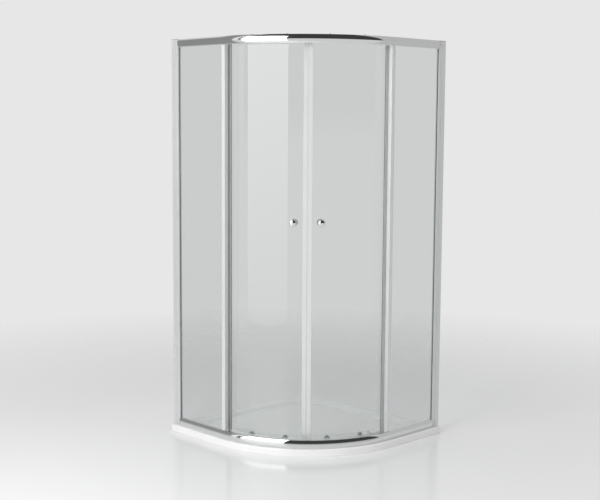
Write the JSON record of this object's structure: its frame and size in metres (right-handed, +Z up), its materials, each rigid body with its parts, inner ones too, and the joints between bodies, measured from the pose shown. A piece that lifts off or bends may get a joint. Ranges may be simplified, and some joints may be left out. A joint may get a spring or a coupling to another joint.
{
  "type": "quadrant shower enclosure",
  "caption": "corner shower enclosure with curved sliding glass doors between bent rails, fixed side panes, turned knobs and a low quadrant tray with a domed drain cover",
  "frame": {"origin": "centre of the overall box on the floor, under the tray", "axes": "+Z up; the room's walls are at -X and +Y; the doors meet on the diagonal towards +X and -Y"},
  "size_m": [0.9, 0.9, 1.8384],
  "materials": {
    "tray": "glossy white gel coat",
    "drain_ring": "white moulded plastic",
    "drain_cover": "bright chrome plate",
    "rail": "polished and clear anodised",
    "wall_profile": "polished and clear anodised",
    "upright": "polished and clear anodised",
    "glass": "clear toughened glass",
    "grey_rubber": "matt grey",
    "black_rubber": "matt black",
    "clear_seal": "clear soft vinyl",
    "magnet_strip": "soft vinyl over a magnet",
    "grey_plastic": "dark grey moulded plastic",
    "chrome": "bright chrome plate",
    "fitting": "silver-grey moulded plastic",
    "slider": "pale grey acetal",
    "roller": "white acetal",
    "screw_steel": "stainless steel"
  },
  "bodies": {
    "frame": {"bottom_rail": "rail", "bottom_rail_end_plates": "grey_plastic", "door_buffers": "black_rubber", "drain_ring": "drain_ring", "frame_screws": "screw_steel", "left_end_post": "upright", "left_fixed_glass": "glass", "left_glazing_gasket": "grey_rubber", "left_jamb": "wall_profile", "left_wall_channel": "wall_profile", "profile_caps": "grey_plastic", "right_end_post": "upright", "right_fixed_glass": "glass", "right_glazing_gasket": "grey_rubber", "right_jamb": "wall_profile", "right_wall_channel": "wall_profile", "shower_tray": "tray", "top_rail": "rail", "top_rail_end_plates": "grey_plastic"},
    "drain_cover": {"drain_cover": "drain_cover"},
    "left_door": {"left_door_fasteners": "screw_steel", "left_door_glass": "glass", "left_drip_seal": "clear_seal", "left_fin_seal": "clear_seal", "left_inner_knob": "chrome", "left_knob_washers": "clear_seal", "left_lead_guide": "fitting", "left_lead_hanger": "fitting", "left_magnet_seal": "magnet_strip", "left_meeting_profile": "upright", "left_outer_knob": "chrome", "left_trail_guide": "fitting", "left_trail_hanger": "fitting", "left_trailing_profile": "upright"},
    "left_lead_top_wheel": {"left_lead_top_wheel": "roller"},
    "left_lead_slider": {"left_lead_slider": "slider"},
    "left_lead_bottom_wheel": {"left_lead_bottom_wheel": "roller"},
    "left_trail_top_wheel": {"left_trail_top_wheel": "roller"},
    "left_trail_slider": {"left_trail_slider": "slider"},
    "left_trail_bottom_wheel": {"left_trail_bottom_wheel": "roller"},
    "right_door": {"right_door_fasteners": "screw_steel", "right_door_glass": "glass", "right_drip_seal": "clear_seal", "right_fin_seal": "clear_seal", "right_inner_knob": "chrome", "right_knob_washers": "clear_seal", "right_lead_guide": "fitting", "right_lead_hanger": "fitting", "right_magnet_seal": "magnet_strip", "right_meeting_profile": "upright", "right_outer_knob": "chrome", "right_trail_guide": "fitting", "right_trail_hanger": "fitting", "right_trailing_profile": "upright"},
    "right_lead_top_wheel": {"right_lead_top_wheel": "roller"},
    "right_lead_slider": {"right_lead_slider": "slider"},
    "right_lead_bottom_wheel": {"right_lead_bottom_wheel": "roller"},
    "right_trail_top_wheel": {"right_trail_top_wheel": "roller"},
    "right_trail_slider": {"right_trail_slider": "slider"},
    "right_trail_bottom_wheel": {"right_trail_bottom_wheel": "roller"}
  },
  "joints": [
    {"name": "drain_cover_lift", "type": "slide", "parent": "frame", "child": "drain_cover", "axis": [0, 0, 1], "range_m": [0, 0.03]},
    {"name": "left_door_slide", "type": "hinge", "parent": "frame", "child": "left_door", "pos_m": [-0.1269, 0.1444, 0.932], "axis": [0, 0, -1], "range_deg": [0, 24.6]},
    {"name": "left_lead_top_wheel_spin", "type": "hinge", "parent": "left_door", "child": "left_lead_top_wheel", "pos_m": [0.18469, -0.32206, 1.8134], "axis": [0.5592, -0.829, 0], "continuous": true},
    {"name": "left_lead_slider_release", "type": "slide", "parent": "left_door", "child": "left_lead_slider", "axis": [0, 0, 1], "range_m": [-0.006, 0], "stiffness_N_per_m": 400, "springref_m": 0.003},
    {"name": "left_lead_bottom_wheel_spin", "type": "hinge", "parent": "left_lead_slider", "child": "left_lead_bottom_wheel", "pos_m": [0.18469, -0.32206, 0.0506], "axis": [0.5592, -0.829, 0], "continuous": true},
    {"name": "left_trail_top_wheel_spin", "type": "hinge", "parent": "left_door", "child": "left_trail_top_wheel", "pos_m": [0.03176, -0.39175, 1.8134], "axis": [0.2588, -0.9659, 0], "continuous": true},
    {"name": "left_trail_slider_release", "type": "slide", "parent": "left_door", "child": "left_trail_slider", "axis": [0, 0, 1], "range_m": [-0.006, 0], "stiffness_N_per_m": 400, "springref_m": 0.003},
    {"name": "left_trail_bottom_wheel_spin", "type": "hinge", "parent": "left_trail_slider", "child": "left_trail_bottom_wheel", "pos_m": [0.03176, -0.39175, 0.0506], "axis": [0.2588, -0.9659, 0], "continuous": true},
    {"name": "right_door_slide", "type": "hinge", "parent": "frame", "child": "right_door", "pos_m": [-0.1444, 0.1269, 0.932], "axis": [0, 0, 1], "range_deg": [0, 24.6]},
    {"name": "right_lead_top_wheel_spin", "type": "hinge", "parent": "right_door", "child": "right_lead_top_wheel", "pos_m": [0.32206, -0.18469, 1.8134], "axis": [0.829, -0.5592, 0], "continuous": true},
    {"name": "right_lead_slider_release", "type": "slide", "parent": "right_door", "child": "right_lead_slider", "axis": [0, 0, 1], "range_m": [-0.006, 0], "stiffness_N_per_m": 400, "springref_m": 0.003},
    {"name": "right_lead_bottom_wheel_spin", "type": "hinge", "parent": "right_lead_slider", "child": "right_lead_bottom_wheel", "pos_m": [0.32206, -0.18469, 0.0506], "axis": [0.829, -0.5592, 0], "continuous": true},
    {"name": "right_trail_top_wheel_spin", "type": "hinge", "parent": "right_door", "child": "right_trail_top_wheel", "pos_m": [0.39175, -0.03176, 1.8134], "axis": [0.9659, -0.2588, 0], "continuous": true},
    {"name": "right_trail_slider_release", "type": "slide", "parent": "right_door", "child": "right_trail_slider", "axis": [0, 0, 1], "range_m": [-0.006, 0], "stiffness_N_per_m": 400, "springref_m": 0.003},
    {"name": "right_trail_bottom_wheel_spin", "type": "hinge", "parent": "right_trail_slider", "child": "right_trail_bottom_wheel", "pos_m": [0.39175, -0.03176, 0.0506], "axis": [0.9659, -0.2588, 0], "continuous": true}
  ],
  "couplings": [
    {"joint": "left_lead_top_wheel_spin", "follows": "left_door_slide", "ratio": 59.048},
    {"joint": "left_lead_bottom_wheel_spin", "follows": "left_door_slide", "ratio": -59.048},
    {"joint": "left_trail_top_wheel_spin", "follows": "left_door_slide", "ratio": 58.857},
    {"joint": "left_trail_bottom_wheel_spin", "follows": "left_door_slide", "ratio": -58.857},
    {"joint": "right_lead_top_wheel_spin", "follows": "right_door_slide", "ratio": -59.048},
    {"joint": "right_lead_bottom_wheel_spin", "follows": "right_door_slide", "ratio": 59.048},
    {"joint": "right_trail_top_wheel_spin", "follows": "right_door_slide", "ratio": -58.857},
    {"joint": "right_trail_bottom_wheel_spin", "follows": "right_door_slide", "ratio": 58.857}
  ]
}
